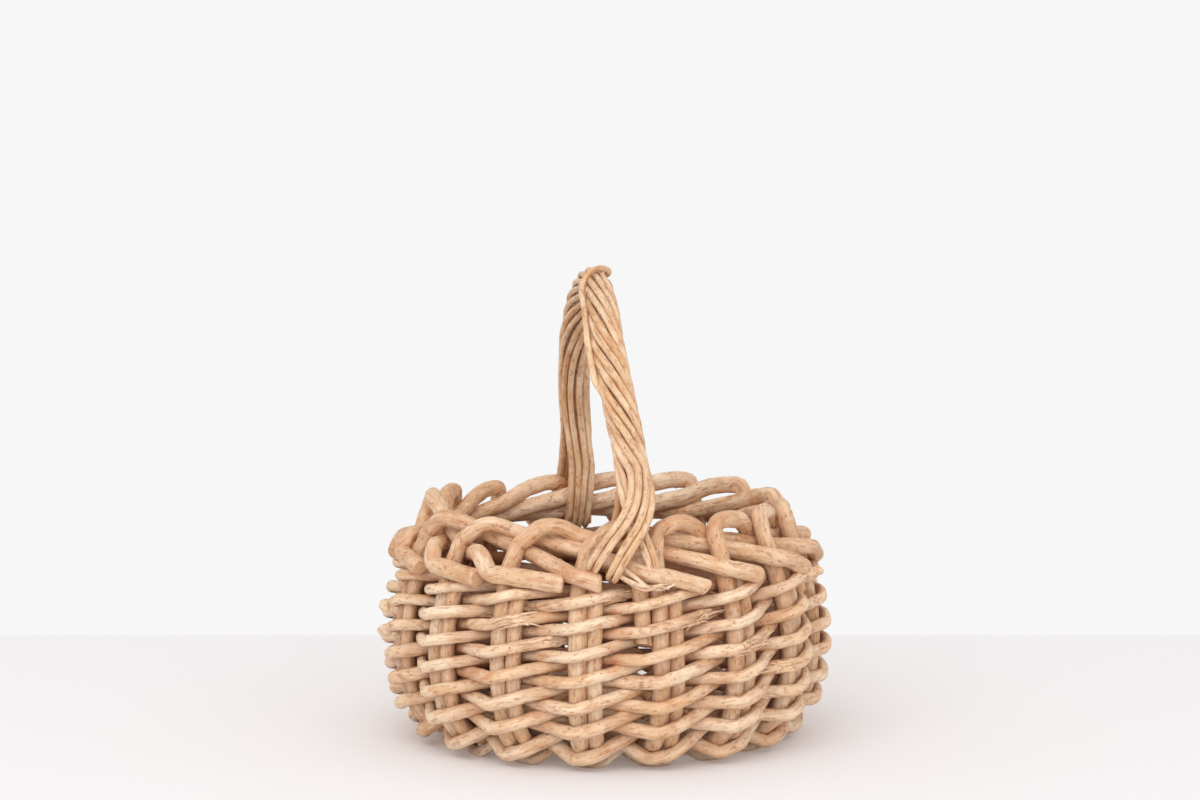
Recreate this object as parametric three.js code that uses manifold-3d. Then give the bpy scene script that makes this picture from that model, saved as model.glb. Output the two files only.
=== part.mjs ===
// Round wicker gathering basket with a roped bow handle. Millimetres, +Z up, the handle over the Y axis from front to back.
import * as THREE from "three";
import { mergeVertices } from "three/addons/utils/BufferGeometryUtils.js";
import Module from "manifold-3d";

// Overall sizes, measured at the middle of the stakes.
const baseRadius = 96;
const stakeCount = 16;
const clearance = 0.35; // between rods that lie on each other

// The wall's outline from the base up: a round corner, a belly and a shoulder that leans in.
const cornerRadius = 26;
const cornerTurn = THREE.MathUtils.degToRad(70);
const bellyRadius = 105;
const shoulderRadius = 120;
const shoulderTurn = THREE.MathUtils.degToRad(18);

// Rods.
const stakeRadius = 5.2;
const stakeTaper = 0.4; // how much thinner a stake's tail is
const byeRadius = 4.2;
const weaverButt = 3.5;
const weaverTip = 2.7;
const waleRadius = 3.3;
const bowRadius = 5;
const strandRadius = 2.2;
const thickest = Math.max(stakeRadius, bowRadius); // of the rods that the weavers pass
const stickRadius = 3.2;
const baseWeaverRadius = 2.1;

// Facets round each kind of rod.
const stakeSides = 6;
const weaverSides = 5;
const waleSides = 8;

// Siding.
const firstRow = 4.8; // along the wall, where a weaver passes its first stake
const rowGap = 0.4; // between two weavers where they pass each other
const rowStep = 2 * weaverButt + rowGap; // climb from one stake to the next
const cornerPasses = 3;
const rowSpread = 2.5; // each step down into the corner is this much longer than the one over it
const crossings = 15;
const slantSteps = 4; // of working out how steeply a rod slants between two groups
const sidingTop = rowAt(crossings - 1);
const wallSteps = [9, 18, 27, 36, 52, 68, 90]; // along the wall, where a stake follows its outline
const lastWallDrop = 0.9; // of the last such place under the siding's last row
const byeSteps = [3, 12, 21, 30, 50, 68, 92];
const byeRise = 1; // of the bye-stakes over the siding's last row

// Border, as distances along the wall. A rod kinks, arches over and passes behind two stakes and in front of a third.
const tailRise = 5.6; // of the pass in front over the siding's last row
const crossingGap = 0.4;
const layerGap = 0.9; // between border rods that lie on each other
const outsideAt = sidingTop + tailRise;
const behindSecond = outsideAt + 2 * stakeRadius + crossingGap;
const behindFirst = behindSecond + 2 * stakeRadius + layerGap;
const peakRise = 5.4;
const kinkDrop = 10.5; // of the kink under the top of the arch that follows it
const kinkRun = 0.03; // shares of the way to the next stake
const peakRun = 0.45;
const inwardShare = 0.2; // of the way behind the next stake that the rod has gone at the top of its arch
const inwardByBow = 0.32; // the same where the bow stands beside that stake
const pastBow = 1.2; // how far before the bow the rod is behind the wall
const tailDrop = 7;
const tailRun = 0.5; // of the way to the next stake
const shortTailRun = 0.3; // where the handle's strands come down

// Handle.
const bowDepth = 33.9; // of the bow's ends under the siding's last row
const bowSteps = [18, 43, 66]; // along the wall from the bow's end
const springRise = 43.1; // of the arch's springing over the siding's last row
const archHeight = 127.5; // crown of the bow over its springing
const archLean = 4; // the crown stands this far to the left
const archSway = 2.6; // how much further, for its height, each leg sways to the left
const archSteps = 30;
const strandPairs = 5;
const frontTwist = 5; // up to the crown, in shares of the angle between two pairs
const backTwist = 2; // the other way, from the crown down
const footSteps = 2; // steps at each end of the arch where the strands spread out instead of winding
const insideGap = 1.2;
const insideShift = 2 * strandRadius + insideGap; // of the two pairs that go down inside, from the bow
const pairGap = 0.8; // between the pairs that come down outside
const ringGap = 1.1; // between two pairs round the bow
const besideEachOther = (strandPairs * (4 * strandRadius + ringGap)) / (2 * Math.PI);
const strandRing = Math.max(bowRadius + strandRadius + 2 * clearance, besideEachOther);
// The strands' feet: along the wall from the border's passes, out from its middle, and how far each pair turns with the bow.
const overBorder = 2 * stakeRadius + thickest + strandRadius + 2 * clearance;
const tuckAt = outsideAt - stakeRadius - strandRadius - 2 * clearance;
const outsideFoot = [
  [tuckAt, stakeRadius + strandRadius + 2, 0],
  [tuckAt + 0.6, 2 * stakeRadius + strandRadius + 1.4, 0],
  [outsideAt - 2.5, overBorder, 0],
  [outsideAt + 8.5, overBorder + 0.5, 0.2],
  [behindFirst + 3.4, overBorder - 6, 0.6],
];
const insideFoot = [
  [behindSecond - 9.8, stakeRadius + strandRadius + 1.6, 0],
  [behindSecond - 8.8, 2 * stakeRadius + strandRadius + 2.4, 0],
  [behindSecond - 2.3, overBorder + 1.1, 0],
  [behindFirst + 4.4, overBorder + 1.1, 0],
  [behindFirst + 12.4, overBorder - 4, 0.5],
  [behindFirst + 21.4, overBorder - 9, 1],
];

// Base.
const slathSpacing = 2 * stickRadius + 1.3;
const slathHalf = 18;
const stickShort = 4; // each stick ends this far inside the wall's foot
const baseRowStep = 0.077; // share of the base's radius from one row to the next
const baseStartShare = 0.45;
const stakeTuck = 7.5; // how far a stake's foot lies along its base stick
const baseEdgeShare = 0.83; // where the base weavers end, as a share of the base's radius
const restCut = 0.5; // depth of the flats that the wale rests on

// Foot wale.
const waleFront = 3.6; // along the wall, where a wale rod passes in front of a group
const waleBehind = -5.3;
const twistClearance = 2.2 * clearance; // where the two rods pass each other
const waleMeeting = 1.2; // each end of a wale rod stops this far short of the other

const wasm = await Module();
wasm.setup();

const basket = new THREE.Group();
const colours = { stake: 0xc9a06c, bye: 0xbf9360, weaver: 0xdbb88a, base: 0xc8a271, handle: 0xd2a877 };

function willow(colour) {
  return new THREE.MeshStandardMaterial({ color: colour, roughness: 0.62, metalness: 0 });
}

// The wall's outline at a distance along it: how far out and over the base's middle, and its angle to the ground.
function wall(along) {
  if (along <= 0) return { reach: along, height: 0, lean: 0 };
  const cornerLength = cornerRadius * cornerTurn;
  const bellyTurn = Math.PI / 2 - cornerTurn;
  const bellyLength = bellyRadius * bellyTurn;
  const shoulderLength = shoulderRadius * shoulderTurn;
  let lean = Math.min(along, cornerLength) / cornerRadius;
  let reach = cornerRadius * Math.sin(lean);
  let height = cornerRadius * (1 - Math.cos(lean));
  let left = along - cornerLength;
  if (left > 0) {
    const turn = Math.min(left, bellyLength) / bellyRadius;
    reach += bellyRadius * (Math.sin(lean + turn) - Math.sin(lean));
    height += bellyRadius * (Math.cos(lean) - Math.cos(lean + turn));
    lean += turn;
    left -= bellyLength;
  }
  if (left > 0) {
    const turn = Math.min(left, shoulderLength) / shoulderRadius;
    reach += shoulderRadius * (Math.sin(lean + turn) - Math.sin(lean));
    height += shoulderRadius * (Math.cos(lean) - Math.cos(lean + turn));
    lean += turn;
    left -= shoulderLength;
  }
  if (left > 0) {
    reach += left * Math.cos(lean);
    height += left * Math.sin(lean);
  }
  return { reach, height, lean };
}

// The wall's radius at a distance along it.
function wallRadius(along) {
  return baseRadius + wall(along).reach;
}

// Straight distance between two stake groups side by side.
function spacing(along) {
  return 2 * wallRadius(along) * Math.sin(Math.PI / stakeCount);
}

// A group's angle for any whole number, counted on round the basket; the bow beside the first stands in front.
function groupAngle(k) {
  return (k / stakeCount) * 2 * Math.PI - Math.PI / 2 - bowShift / wallRadius(archSpring);
}

// A point by its angle, its distance along the wall, its distance out from the wall and its shift round the basket.
function place(angle, along, out = 0, shift = 0) {
  const { reach, height, lean } = wall(along);
  const radius = baseRadius + reach;
  const turned = angle + shift / radius;
  const outward = new THREE.Vector3(Math.cos(turned), Math.sin(turned), 0);
  return outward.multiplyScalar(radius + out * Math.sin(lean)).add(new THREE.Vector3(0, 0, height - out * Math.cos(lean)));
}

// Where the rods of a group stand beside its middle: main stake to the left, bye-stake to the right.
const mainShift = -(byeRadius + clearance / 2);
const byeShift = stakeRadius + clearance / 2;
const bowShift = mainShift - stakeRadius - bowRadius - clearance;
const bowGroups = [0, stakeCount / 2];
const bowEnd = sidingTop - bowDepth;
const archSpring = sidingTop + springRise;

function holdsBow(k) {
  return bowGroups.includes(((k % stakeCount) + stakeCount) % stakeCount);
}

// One closed solid through rings of points, capped at both ends.
function loft(rings) {
  const sides = rings[0].length;
  const positions = rings.flat().flatMap((point) => point.toArray());
  const faces = [];
  for (let i = 0; i + 1 < rings.length; i++) {
    for (let j = 0; j < sides; j++) {
      const here = i * sides + j;
      const beside = i * sides + ((j + 1) % sides);
      faces.push(here, beside, beside + sides, here, beside + sides, here + sides);
    }
  }
  const last = (rings.length - 1) * sides;
  for (let j = 1; j + 1 < sides; j++) {
    faces.push(0, j + 1, j, last, last + j, last + j + 1);
  }
  const geometry = new THREE.BufferGeometry();
  geometry.setAttribute("position", new THREE.Float32BufferAttribute(positions, 3));
  geometry.setIndex(faces);
  return geometry;
}

function direction(points, i) {
  const before = points[Math.max(i - 1, 0)];
  const after = points[Math.min(i + 1, points.length - 1)];
  return after.clone().sub(before).normalize();
}

// A rod along points, from one radius to the other, with its facets carried along without twist.
function rod(points, startRadius, endRadius, sides) {
  let side = new THREE.Vector3(0.31, 0.17, 1);
  const rings = points.map((point, i) => {
    const ahead = direction(points, i);
    side = side.clone().addScaledVector(ahead, -side.dot(ahead)).normalize();
    const lift = ahead.clone().cross(side);
    const radius = THREE.MathUtils.lerp(startRadius, endRadius, i / (points.length - 1));
    return Array.from({ length: sides }, (_, j) => {
      const turn = (j / sides) * 2 * Math.PI;
      return point.clone().addScaledVector(side, radius * Math.cos(turn)).addScaledVector(lift, radius * Math.sin(turn));
    });
  });
  return loft(rings);
}

function addMesh(name, geometry, colour) {
  geometry.translate(0, 0, -groundLevel);
  geometry.computeVertexNormals();
  const mesh = new THREE.Mesh(geometry, willow(colour));
  mesh.name = name;
  basket.add(mesh);
}

function toSolid(geometry) {
  const bare = geometry.clone();
  for (const name of Object.keys(bare.attributes)) {
    if (name !== "position") bare.deleteAttribute(name);
  }
  const merged = mergeVertices(bare, 1e-3);
  return new wasm.Manifold(
    new wasm.Mesh({
      numProp: 3,
      vertProperties: merged.attributes.position.array,
      triVerts: new Uint32Array(merged.index.array),
    }),
  );
}

function toGeometry(solid) {
  const mesh = solid.getMesh();
  const geometry = new THREE.BufferGeometry();
  geometry.setAttribute("position", new THREE.BufferAttribute(mesh.vertProperties, 3));
  geometry.setIndex(new THREE.BufferAttribute(mesh.triVerts, 1));
  return geometry;
}

// How far past a rod's middle a weaver keeps its offset, so that it clears the rod when it slants off.
function overrun(offset, keep, slant) {
  return Math.max(clearance, (keep - offset * Math.cos(slant)) / Math.sin(slant));
}

// The two ends of a weaver's pass over a group: shifts left and right of the group's middle.
function passEdges(k, along, offset, radius) {
  const withBow = holdsBow(k) && along > bowEnd - 3 * radius;
  const nextWithBow = holdsBow(k + 1) && along > bowEnd - 3 * radius;
  const space = spacing(along);
  const leftRod = withBow ? bowShift : mainShift;
  const nextLeftRod = nextWithBow ? bowShift : mainShift;
  let slant = Math.PI / 6;
  let slantBefore = Math.PI / 6;
  let right = byeShift;
  let left = leftRod;
  for (let i = 0; i < slantSteps; i++) {
    right = byeShift + overrun(offset, byeRadius + radius + clearance, slant);
    left = leftRod - overrun(offset, thickest + radius + clearance, slantBefore);
    const nextLeft = nextLeftRod - overrun(offset, thickest + radius + clearance, slant);
    slant = Math.atan((2 * offset) / (space + nextLeft - right));
    slantBefore = Math.atan((2 * offset) / (space + left - byeShift - clearance));
  }
  return { left, right, space };
}

// How far along the wall a weaver is at each stake that it passes.
function rowAt(pass) {
  const below = Math.max(cornerPasses - pass, 0);
  const spread = (cornerPasses * (cornerPasses - 1) - below * (below - 1)) / 2;
  return firstRow + rowStep * pass + rowSpread * spread;
}

// A weaver of the siding: behind its first group, in front of the next, and so on, climbing all the way.
function weaverPath(first) {
  const points = [];
  for (let q = 0; q < crossings; q++) {
    const radius = THREE.MathUtils.lerp(weaverButt, weaverTip, q / (crossings - 1));
    const offset = thickest + radius + clearance;
    const out = q % 2 ? offset : -offset;
    const along = rowAt(q);
    const k = first + q;
    const { left, right, space } = passEdges(k, along, offset, radius);
    const climb = rowStep / space;
    points.push(place(groupAngle(k), along + climb * left, out, left));
    points.push(place(groupAngle(k), along + climb * right, out, right));
  }
  return points;
}

// A foot wale rod: in front of every other group, twisting with its mate between the groups.
function walePath(first) {
  const points = [];
  const offset = stakeRadius + waleRadius + clearance;
  const pass = new THREE.Vector2(waleFront - waleBehind, 2 * offset).setLength(waleRadius + twistClearance);
  const middle = (waleFront + waleBehind) / 2;
  for (let q = 0; q <= stakeCount; q++) {
    const k = first + q;
    const { left, right, space } = passEdges(k, middle, offset, waleRadius);
    const way = q % 2 ? 1 : -1;
    const backed = q === 0 ? -waleMeeting : q === stakeCount ? waleMeeting : 0;
    points.push(place(groupAngle(k), middle + way * pass.y, -way * pass.x, -space / 2 - backed));
    if (q === stakeCount) break;
    const out = q % 2 ? -offset : offset;
    const along = q % 2 ? waleBehind : waleFront;
    points.push(place(groupAngle(k), along, out, left));
    points.push(place(groupAngle(k), along, out, right));
  }
  return points;
}

// A main stake: along the base, up the wall, and over into the border.
function stakePath(k) {
  const { near, end } = spoke(k);
  const foot = place(groupAngle(k), 0, 0, mainShift);
  const points = [foot.clone().addScaledVector(end.clone().sub(near).normalize(), -stakeTuck), foot];
  for (const along of [...wallSteps, sidingTop - lastWallDrop]) points.push(place(groupAngle(k), along, 0, mainShift));
  const offset = stakeRadius + thickest + clearance;
  const peakAt = behindFirst + peakRise;
  const space = spacing(peakAt);
  points.push(place(groupAngle(k), peakAt - kinkDrop, 0, mainShift + kinkRun * space));
  const inward = holdsBow(k + 1) ? inwardByBow : inwardShare;
  points.push(place(groupAngle(k), peakAt, -inward * offset, mainShift + peakRun * space));
  const passes = [
    { along: behindFirst, out: -offset },
    { along: behindSecond, out: -offset },
    { along: outsideAt, out: offset + clearance },
  ];
  const drop = (behindFirst - behindSecond) / space;
  passes.forEach(({ along, out }, i) => {
    const next = k + 1 + i;
    const bow = holdsBow(next) ? bowRadius + stakeRadius + clearance : 0;
    const over = i === 0 ? Math.min(bow, pastBow) : overrun(offset, offset, Math.atan((2 * offset) / (space - bow)));
    const left = -bow - over;
    const right = i === 1 ? over : 0;
    points.push(place(groupAngle(next), along - drop * left, out, mainShift + left));
    if (right > 0) points.push(place(groupAngle(next), along - drop * right, out, mainShift + right));
  });
  const last = k + passes.length;
  const run = (holdsBow(last + 1) ? shortTailRun : tailRun) * space;
  points.push(place(groupAngle(last), outsideAt, offset, mainShift));
  points.push(place(groupAngle(last), outsideAt - (tailDrop * run) / (space * tailRun), offset, mainShift + run));
  return points;
}

function byePath(k) {
  return [...byeSteps, sidingTop + byeRise].map((along) => place(groupAngle(k), along, 0, byeShift));
}

// One end of a base stick: from the edge of the crossed middle, fanned out to a group's bye-stake.
function spoke(k) {
  const turned = (((k + 2) % stakeCount) + stakeCount) % stakeCount;
  const across = ((turned % 4) - 1.5) * slathSpacing;
  const sides = [
    [across, -slathHalf],
    [slathHalf, across],
    [-across, slathHalf],
    [-slathHalf, -across],
  ];
  const turn = groupAngle(0) + Math.PI / 2 - Math.PI / stakeCount;
  const near = new THREE.Vector3(...sides[Math.floor(turned / 4)], 0).applyAxisAngle(new THREE.Vector3(0, 0, 1), turn);
  return { near, end: place(groupAngle(k), -stickShort, 0, byeShift) };
}

// A base stick: straight through the middle beside its three neighbours, with a spoke at each end.
function stickPath(k) {
  const front = k < 2 || k >= stakeCount - 2;
  const far = front ? (stakeCount + stakeCount / 2 - 1 - k) % stakeCount : stakeCount - 1 - k;
  const here = spoke(k);
  const there = spoke(far);
  return [here.end, here.near, there.near, there.end];
}

// Where a spoke of the base crosses a circle of a share of the base's radius.
function spokePoint(k, share) {
  const { near, end } = spoke(k);
  const run = end.clone().sub(near);
  const half = near.dot(run) / run.lengthSq();
  const rest = (near.lengthSq() - (share * baseRadius) ** 2) / run.lengthSq();
  return near.addScaledVector(run, Math.sqrt(half * half - rest) - half);
}

// A base weaver: over and under the sticks by fours first, then over and under each stick.
function baseWeaverPath(start) {
  const points = [];
  const keep = stickRadius + baseWeaverRadius + clearance;
  const sideOf = (step) => (step < stakeCount ? Math.floor((step + 2) / 4) : step) % 2;
  let share = baseStartShare + start * baseRowStep;
  for (let step = 0; share < baseEdgeShare; step++) {
    const point = spokePoint(step, share);
    let space = Infinity;
    for (const other of [step - 1, step + 1]) {
      if (sideOf(Math.max(other, 0)) !== sideOf(step)) space = Math.min(space, point.distanceTo(spokePoint(other, share)));
    }
    const lift = keep / Math.sqrt(1 - (4 * keep * keep) / (space * space));
    point.z += sideOf(step) === start ? lift : -lift;
    points.push(point);
    share += (2 * baseRowStep) / stakeCount;
  }
  return points;
}

// The bow's middle line: up from the siding at the front, over in an arch and down at the back.
function bowFoot(group, along) {
  return place(groupAngle(group), along, 0, bowShift);
}

function archPoint(share) {
  const front = bowFoot(bowGroups[0], archSpring);
  const back = bowFoot(bowGroups[1], archSpring);
  const turn = share * Math.PI;
  const middle = new THREE.Vector3().lerpVectors(front, back, (1 - Math.cos(turn)) / 2);
  middle.x -= archLean * Math.sin(turn) * (1 + archSway * Math.cos(turn) ** 2);
  middle.z += archHeight * Math.sin(turn);
  return middle;
}

function bowPath() {
  const feet = [0, ...bowSteps].map((step) => bowEnd + step);
  const points = feet.map((along) => bowFoot(bowGroups[0], along));
  for (let i = 0; i <= archSteps; i++) points.push(archPoint(i / archSteps));
  points.push(...feet.reverse().map((along) => bowFoot(bowGroups[1], along)));
  return points;
}

// A pair of strands laid side by side: its outline across, along its width and its thickness.
const pairOutline = [
  [-2, 0],
  [-1, -1],
  [0, -0.5],
  [1, -1],
  [2, 0],
  [1, 1],
  [0, 0.5],
  [-1, 1],
];

// How far the strands have wound at a share of the way over: one way up to the crown, then some of it back.
function wound(along) {
  return backTwist * Math.max(2 * along - 1, 0) - frontTwist * Math.min(2 * along, 1);
}

// One pair of strands: tucked under the border, out over it, round the bow, and the same at the other foot.
function strandRings(pair) {
  const stations = [];
  const share = (2 * Math.PI) / strandPairs;
  const startTurn = pair * share;
  const foot = (group, turn) => {
    const turned = Math.atan2(Math.sin(turn), Math.cos(turn));
    const outside = Math.abs(turned) < Math.PI / 2;
    const fan = (turned / share) * (4 * strandRadius + pairGap);
    const shift = bowShift + (outside ? fan : Math.sign(turned) * insideShift);
    const way = outside ? 1 : -1;
    const rows = outside ? outsideFoot : insideFoot;
    return rows.map(([along, out, tilt]) => {
      const at = place(groupAngle(group), along, way * out, shift);
      const outer = place(groupAngle(group), along, way * (out + 1), shift + (tilt * (shift - bowShift)) / out);
      return { at, out: outer.sub(at) };
    });
  };
  stations.push(...foot(bowGroups[0], startTurn));
  for (let i = footSteps; i <= archSteps - footSteps; i++) {
    const middle = archPoint(i / archSteps);
    const ahead = archPoint((i + 1) / archSteps).sub(archPoint((i - 1) / archSteps)).normalize();
    const right = new THREE.Vector3(1, 0, 0).addScaledVector(ahead, -ahead.x).normalize();
    const outward = right.clone().cross(ahead);
    const turn = startTurn + wound((i - footSteps) / (archSteps - 2 * footSteps)) * share;
    const out = outward.multiplyScalar(Math.cos(turn)).addScaledVector(right, Math.sin(turn));
    stations.push({ at: middle.addScaledVector(out, strandRing), out });
  }
  stations.push(...foot(bowGroups[1], -(startTurn + wound(1) * share)).reverse());
  const line = stations.map((station) => station.at);
  return stations.map(({ at, out }, i) => {
    const ahead = direction(line, i);
    const lift = out.clone().addScaledVector(ahead, -out.dot(ahead)).normalize();
    const side = lift.clone().cross(ahead);
    return pairOutline.map(([across, up]) =>
      at.clone().addScaledVector(side, across * strandRadius).addScaledVector(lift, up * strandRadius),
    );
  });
}

// The ground lies a little over the wales' lowest points; what is under it is cut away and leaves the rest flats.
const wales = [0, 1].map((first) => toSolid(rod(walePath(first), waleRadius, waleRadius, waleSides)));
const groundLevel = Math.min(...wales.map((wale) => wale.boundingBox().min[2])) + restCut;

function twoDigits(k) {
  return String(k + 1).padStart(2, "0");
}

for (let k = 0; k < stakeCount; k++) {
  addMesh("main_stake_" + twoDigits(k), rod(stakePath(k), stakeRadius, stakeRadius - stakeTaper, stakeSides), colours.stake);
  addMesh("bye_stake_" + twoDigits(k), rod(byePath(k), byeRadius, byeRadius, weaverSides), colours.bye);
  addMesh("weaver_" + twoDigits(k), rod(weaverPath(k), weaverButt, weaverTip, weaverSides), colours.weaver);
}
["a", "b"].forEach((letter, start) => {
  addMesh("foot_wale_" + letter, toGeometry(wales[start].trimByPlane([0, 0, 1], groundLevel)), colours.weaver);
  const woven = rod(baseWeaverPath(start), baseWeaverRadius, baseWeaverRadius, weaverSides);
  addMesh("base_weaver_" + letter, woven, colours.base);
});
const firstEnds = [stakeCount - 2, stakeCount - 1, 0, 1, 2, 3, 4, 5];
const sticks = firstEnds.map((k) => toSolid(rod(stickPath(k), stickRadius, stickRadius, stakeSides)));
const slath = sticks.reduce((sum, stick) => sum.add(stick));
addMesh("base_sticks", toGeometry(slath), colours.base);
addMesh("handle_bow", rod(bowPath(), bowRadius, bowRadius, stakeSides), colours.stake);
for (let pair = 0; pair < strandPairs; pair++) {
  addMesh("handle_strands_" + (pair + 1), loft(strandRings(pair)), colours.handle);
}

export default basket;
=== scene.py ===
import math
import random

import bpy
import numpy as np
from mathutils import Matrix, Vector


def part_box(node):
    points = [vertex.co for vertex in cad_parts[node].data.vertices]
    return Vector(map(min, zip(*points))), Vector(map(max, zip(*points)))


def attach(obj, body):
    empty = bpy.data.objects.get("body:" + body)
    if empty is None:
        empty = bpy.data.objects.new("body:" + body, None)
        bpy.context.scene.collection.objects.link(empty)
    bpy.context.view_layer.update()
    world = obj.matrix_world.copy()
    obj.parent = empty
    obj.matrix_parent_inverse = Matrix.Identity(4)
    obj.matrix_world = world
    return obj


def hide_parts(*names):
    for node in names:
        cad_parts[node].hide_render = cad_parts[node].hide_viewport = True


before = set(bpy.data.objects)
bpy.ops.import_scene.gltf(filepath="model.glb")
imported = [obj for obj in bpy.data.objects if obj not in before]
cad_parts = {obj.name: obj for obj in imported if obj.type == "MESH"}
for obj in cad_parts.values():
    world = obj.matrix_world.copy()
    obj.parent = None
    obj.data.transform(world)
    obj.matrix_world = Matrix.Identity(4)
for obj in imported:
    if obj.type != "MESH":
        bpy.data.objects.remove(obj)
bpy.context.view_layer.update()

# Sizes in millimetres, at the middle of the stakes. Distances "along" run up the wall from the edge of the base.
MM = 0.001
BASE_RADIUS = 96
STAKES = 16
CLEARANCE = 0.35
CORNER_RADIUS = 26
CORNER_TURN = math.radians(70)
BELLY_RADIUS = 105
SHOULDER_RADIUS = 120
SHOULDER_TURN = math.radians(18)
STAKE_RADIUS = 5.2
STAKE_TAPER = 0.3
BYE_RADIUS = 4.2
WEAVER_BUTT = 3.5
WEAVER_TIP = 2.7
WALE_RADIUS = 3.3
BOW_RADIUS = 5
STRAND_RADIUS = 2.2
STICK_RADIUS = 3.2
BASE_WEAVER_RADIUS = 3.2  # pressed tight between the sticks
PLUMP = 1.28  # woven rods swell a little past the size that they are threaded at
FIRST_ROW = 4.8
ROW_STEP = 2 * WEAVER_BUTT + 0.4
CORNER_PASSES = 3
ROW_SPREAD = 2.5
CROSSINGS = 15
SIDING_TOP = FIRST_ROW + ROW_STEP * (CROSSINGS - 1) + ROW_SPREAD * 3
TAIL_AT = SIDING_TOP + 5.6
BEHIND_SECOND = TAIL_AT + 2 * STAKE_RADIUS + 0.4
BEHIND_FIRST = BEHIND_SECOND + 2 * STAKE_RADIUS + 0.9
PEAK_AT = BEHIND_FIRST + 5.4
BOW_END = SIDING_TOP - 33.9
ARCH_SPRING = SIDING_TOP + 43.1
ARCH_HEIGHT = 127.5
ARCH_LEAN = 4
ARCH_SWAY = 2.6
ARCH_STEPS = 60
STRAND_PAIRS = 5
FRONT_TWIST = 5
BACK_TWIST = 2
FOOT_SHARE = 2 / 30  # of the arch at each end, where the strands spread out instead of winding
STRAND_RING = BOW_RADIUS + STRAND_RADIUS + 2 * CLEARANCE
STRAND_STEPS = 150
SLATH_SPACING = 2 * STICK_RADIUS + 1.3
SLATH_HALF = 18
STICK_SHORT = 4
BASE_ROW_STEP = 0.077
BASE_START_SHARE = 0.34  # where the base weaving starts and ends, as shares of the base's radius
BASE_EDGE_SHARE = 0.88
STAKE_TUCK = 7.5
WALE_FRONT = 3.6
WALE_BEHIND = -5.3
WALE_MEETING = 1.2
MAIN_SHIFT = -(BYE_RADIUS + CLEARANCE / 2)
BYE_SHIFT = STAKE_RADIUS + CLEARANCE / 2  # the pair stands to both sides of its group's middle
BOW_SHIFT = MAIN_SHIFT - STAKE_RADIUS - BOW_RADIUS - CLEARANCE
BOW_GROUPS = (0, STAKES // 2)

stick_low, stick_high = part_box("base_sticks")
BASE_LEVEL = (stick_low.z + stick_high.z) / 2 / MM


# The wall's outline: how far out, how far over the base's middle, and its angle to the ground.
def wall(along):
    if along <= 0:
        return along, 0.0, 0.0
    belly_turn = math.pi / 2 - CORNER_TURN
    reach, height, lean, left = 0.0, 0.0, 0.0, along
    bends = (CORNER_RADIUS, CORNER_TURN), (BELLY_RADIUS, belly_turn), (SHOULDER_RADIUS, SHOULDER_TURN)
    for radius, full_turn in bends:
        turn = min(left, radius * full_turn) / radius
        reach += radius * (math.sin(lean + turn) - math.sin(lean))
        height += radius * (math.cos(lean) - math.cos(lean + turn))
        lean += turn
        left -= radius * full_turn
        if left <= 0:
            return reach, height, lean
    return reach + left * math.cos(lean), height + left * math.sin(lean), lean


def wall_radius(along):
    return BASE_RADIUS + wall(along)[0]


def spacing(along):
    return 2 * wall_radius(along) * math.sin(math.pi / STAKES)


def group_angle(k):
    return k / STAKES * 2 * math.pi - math.pi / 2 - BOW_SHIFT / wall_radius(ARCH_SPRING)


# A point by its stake group, distance along the wall, distance out from it and shift round the basket.
def place(k, along, out=0.0, shift=0.0):
    reach, height, lean = wall(along)
    radius = BASE_RADIUS + reach
    turned = group_angle(k) + shift / radius
    stand = radius + out * math.sin(lean)
    return np.array((stand * math.cos(turned), stand * math.sin(turned), BASE_LEVEL + height - out * math.cos(lean)))


def holds_bow(k):
    return k % STAKES in BOW_GROUPS


def overrun(offset, keep, slant):
    return max(CLEARANCE, (keep - offset * math.cos(slant)) / math.sin(slant))


# The two ends of a weaver's pass over a group, as shifts from the group's middle. The slants settle in a few rounds.
def pass_edges(k, along, offset, radius):
    by_bow = BOW_END - 3 * radius
    left_rod = BOW_SHIFT if holds_bow(k) and along > by_bow else MAIN_SHIFT
    next_left_rod = BOW_SHIFT if holds_bow(k + 1) and along > by_bow else MAIN_SHIFT
    space = spacing(along)
    slant = slant_before = math.pi / 6
    for _ in range(4):
        right = BYE_SHIFT + overrun(offset, BYE_RADIUS + radius + CLEARANCE, slant)
        left = left_rod - overrun(offset, STAKE_RADIUS + radius + CLEARANCE, slant_before)
        next_left = next_left_rod - overrun(offset, STAKE_RADIUS + radius + CLEARANCE, slant)
        slant = math.atan(2 * offset / (space + next_left - right))
        slant_before = math.atan(2 * offset / (space + left - BYE_SHIFT - CLEARANCE))
    return left, right, space


def row_at(step):
    below = max(CORNER_PASSES - step, 0)
    return FIRST_ROW + ROW_STEP * step + ROW_SPREAD * (6 - below * (below - 1)) / 2


# Rods as lists of corner points. Each rod's corners are rounded afterwards, over the length given beside each point.
def weaver_corners(first, chance):
    corners = []
    for q in range(CROSSINGS):
        radius = WEAVER_BUTT + (WEAVER_TIP - WEAVER_BUTT) * q / (CROSSINGS - 1)
        offset = STAKE_RADIUS + radius + CLEARANCE
        out = offset if q % 2 else -offset
        k = first + q
        along = row_at(q) + chance.uniform(-0.5, 0.5)
        left, right, space = pass_edges(k, along, offset, radius)
        climb = ROW_STEP / space
        if q % 2:
            corners.append((place(k, along - 1.7 + climb * left, out, left), 3))
            corners.append((place(k, along - 0.17 + climb * right, out - 0.8, right), 4))
        else:
            corners.append((place(k, along + 1.3 + climb * left, out, left), 5))
            corners.append((place(k, along + 1.3 + climb * right, out, right), 5))
    return corners


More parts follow.
